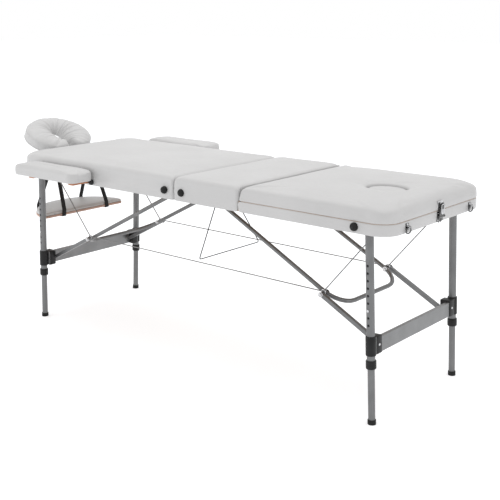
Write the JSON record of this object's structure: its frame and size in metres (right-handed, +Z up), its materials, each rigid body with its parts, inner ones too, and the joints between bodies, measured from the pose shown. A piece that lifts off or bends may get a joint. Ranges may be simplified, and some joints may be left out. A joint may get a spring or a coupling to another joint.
{
  "type": "portable massage table",
  "caption": "Folding padded massage table with tilting backrest, telescopic splayed legs, side armrests, horseshoe face cradle and hanging arm shelf.",
  "frame": {"origin": "on the floor, under the centre of the whole assembly", "axes": "+X along the table towards the backrest end, +Z up, +Y across the table"},
  "size_m": [2.1232, 0.884, 0.8445],
  "materials": {
    "vinyl": "soft matt white artificial leather",
    "wood": "clear lacquered hardwood",
    "plywood": "plain plywood",
    "aluminium": "satin anodised",
    "steel": "bright plated",
    "rubber": "matt",
    "black_plastic": "fine texture",
    "webbing": "woven"
  },
  "bodies": {
    "left_half": {"left_frame": "wood", "left_board": "plywood", "left_pad": "vinyl", "centre_hinge_left": "steel", "left_leg_axle": "steel", "cable_front": "steel", "cable_back": "steel", "elastic_cord": "webbing"},
    "right_half": {"right_frame": "wood", "seat_board": "plywood", "seat_pad": "vinyl", "rim_cover": "vinyl", "backrest_hinge_flap": "vinyl", "centre_hinge_right": "steel", "right_leg_axle": "steel", "latch_base": "steel"},
    "backrest": {"backrest_board": "plywood", "backrest_pad": "vinyl"},
    "face_plug": {"face_hole_plug": "vinyl"},
    "backrest_stays": {"backrest_stay_front": "steel", "backrest_stay_back": "steel"},
    "latch_lever": {"latch_lever": "steel"},
    "armrest_front": {"armrest_front_board": "wood", "armrest_front_pad": "vinyl"},
    "armrest_back": {"armrest_back_board": "wood", "armrest_back_pad": "vinyl"},
    "cradle_arms": {"cradle_arms": "aluminium"},
    "cradle_head": {"cradle_plate": "black_plastic", "cradle_cushion": "vinyl"},
    "cradle_lever": {"cradle_lever": "black_plastic"},
    "arm_shelf": {"arm_shelf_board": "wood", "arm_shelf_pad": "vinyl", "shelf_strap_front": "webbing", "shelf_strap_back": "webbing"},
    "left_legs": {"left_front_upper_leg": "aluminium", "left_back_upper_leg": "aluminium", "left_crossbar": "aluminium"},
    "left_braces": {"left_front_brace": "aluminium", "left_back_brace": "aluminium"},
    "left_u_bar": {"left_u_bar": "aluminium"},
    "left_front_lower": {"left_front_lower_leg": "aluminium", "left_front_foot": "rubber"},
    "left_front_button": {"left_front_button": "steel"},
    "left_back_lower": {"left_back_lower_leg": "aluminium", "left_back_foot": "rubber"},
    "left_back_button": {"left_back_button": "steel"},
    "right_legs": {"right_front_upper_leg": "aluminium", "right_back_upper_leg": "aluminium", "right_crossbar": "aluminium"},
    "right_braces": {"right_front_brace": "aluminium", "right_back_brace": "aluminium"},
    "right_u_bar": {"right_u_bar": "aluminium"},
    "right_front_lower": {"right_front_lower_leg": "aluminium", "right_front_foot": "rubber"},
    "right_front_button": {"right_front_button": "steel"},
    "right_back_lower": {"right_back_lower_leg": "aluminium", "right_back_foot": "rubber"},
    "right_back_button": {"right_back_button": "steel"}
  },
  "joints": [
    {"name": "centre_fold", "type": "hinge", "parent": "left_half", "child": "right_half", "pos_m": [0.12013, 0, 0.6505], "axis": [0, 1, 0], "range_deg": [0, 95], "deforming": ["cable_front", "cable_back", "elastic_cord"]},
    {"name": "left_leg_fold", "type": "hinge", "parent": "left_half", "child": "left_legs", "pos_m": [-0.70637, 0, 0.668], "axis": [0, -1, 0], "range_deg": [0, 93.04], "deforming": ["cable_front", "cable_back", "elastic_cord"]},
    {"name": "left_u_bar_fold", "type": "hinge", "parent": "left_half", "child": "left_u_bar", "pos_m": [0.06013, 0, 0.674], "axis": [0, 1, 0], "range_deg": [0, 27.42]},
    {"name": "left_brace_fold", "type": "hinge", "parent": "left_legs", "child": "left_braces", "pos_m": [-0.71638, 0, 0.27197], "axis": [0, -1, 0], "range_deg": [0, 60.77]},
    {"name": "left_front_leg_length", "type": "slide", "parent": "left_legs", "child": "left_front_lower", "axis": [-0.053, 0, -0.9986], "range_m": [-0.15, 0.05], "deforming": ["left_front_button"]},
    {"name": "left_front_button_press", "type": "slide", "parent": "left_front_lower", "child": "left_front_button", "axis": [0, 1, 0], "range_m": [0, 0.003], "stiffness_N_per_m": 600},
    {"name": "left_back_leg_length", "type": "slide", "parent": "left_legs", "child": "left_back_lower", "axis": [-0.053, 0, -0.9986], "range_m": [-0.15, 0.05], "deforming": ["left_back_button"]},
    {"name": "left_back_button_press", "type": "slide", "parent": "left_back_lower", "child": "left_back_button", "axis": [0, -1, 0], "range_m": [0, 0.003], "stiffness_N_per_m": 600},
    {"name": "right_leg_fold", "type": "hinge", "parent": "right_half", "child": "right_legs", "pos_m": [0.94663, 0, 0.668], "axis": [0, 1, 0], "range_deg": [0, 93.04], "deforming": ["cable_front", "cable_back", "elastic_cord"]},
    {"name": "right_u_bar_fold", "type": "hinge", "parent": "right_half", "child": "right_u_bar", "pos_m": [0.18013, 0, 0.674], "axis": [0, -1, 0], "range_deg": [0, 27.42]},
    {"name": "right_brace_fold", "type": "hinge", "parent": "right_legs", "child": "right_braces", "pos_m": [0.95665, 0, 0.27197], "axis": [0, 1, 0], "range_deg": [0, 60.77]},
    {"name": "right_front_leg_length", "type": "slide", "parent": "right_legs", "child": "right_front_lower", "axis": [0.053, 0, -0.9986], "range_m": [-0.15, 0.05], "deforming": ["right_front_button"]},
    {"name": "right_front_button_press", "type": "slide", "parent": "right_front_lower", "child": "right_front_button", "axis": [0, 1, 0], "range_m": [0, 0.003], "stiffness_N_per_m": 600},
    {"name": "right_back_leg_length", "type": "slide", "parent": "right_legs", "child": "right_back_lower", "axis": [0.053, 0, -0.9986], "range_m": [-0.15, 0.05], "deforming": ["right_back_button"]},
    {"name": "right_back_button_press", "type": "slide", "parent": "right_back_lower", "child": "right_back_button", "axis": [0, -1, 0], "range_m": [0, 0.003], "stiffness_N_per_m": 600},
    {"name": "backrest_tilt", "type": "hinge", "parent": "right_half", "child": "backrest", "pos_m": [0.43678, 0, 0.747], "axis": [0, -1, 0], "range_deg": [0, 65]},
    {"name": "backrest_stay_fold", "type": "hinge", "parent": "backrest", "child": "backrest_stays", "pos_m": [0.68013, 0, 0.686], "axis": [0, 1, 0], "range_deg": [0, 117.1]},
    {"name": "face_plug_lift", "type": "slide", "parent": "backrest", "child": "face_plug", "axis": [0, 0, 1], "range_m": [0, 0.08]},
    {"name": "latch_lever_swing", "type": "hinge", "parent": "right_half", "child": "latch_lever", "pos_m": [1.05713, 0, 0.672], "axis": [0, 1, 0], "range_deg": [0, 140]},
    {"name": "armrest_front_slide", "type": "slide", "parent": "left_half", "child": "armrest_front", "axis": [0, -1, 0], "range_m": [0, 0.06]},
    {"name": "armrest_back_slide", "type": "slide", "parent": "left_half", "child": "armrest_back", "axis": [0, 1, 0], "range_m": [0, 0.06]},
    {"name": "cradle_slide", "type": "slide", "parent": "left_half", "child": "cradle_arms", "axis": [-1, 0, 0], "range_m": [0, 0.06]},
    {"name": "cradle_tilt", "type": "hinge", "parent": "cradle_arms", "child": "cradle_head", "pos_m": [-0.84487, 0, 0.672], "axis": [0, 1, 0], "range_deg": [-33, 2]},
    {"name": "cradle_lever_swing", "type": "hinge", "parent": "cradle_arms", "child": "cradle_lever", "pos_m": [-0.84487, 0, 0.672], "axis": [0, 1, 0], "range_deg": [-75, 0]},
    {"name": "arm_shelf_swing", "type": "hinge", "parent": "cradle_arms", "child": "arm_shelf", "pos_m": [-0.84487, 0, 0.672], "axis": [0, 1, 0], "range_deg": [-15, 15]}
  ],
  "couplings": [
    {"joint": "left_u_bar_fold", "follows": "left_leg_fold", "ratio": 0.2942},
    {"joint": "left_brace_fold", "follows": "left_leg_fold", "ratio": 0.65268},
    {"joint": "right_u_bar_fold", "follows": "right_leg_fold", "ratio": 0.2942},
    {"joint": "right_brace_fold", "follows": "right_leg_fold", "ratio": 0.65268},
    {"joint": "backrest_stay_fold", "follows": "backrest_tilt", "ratio": 1.8}
  ]
}
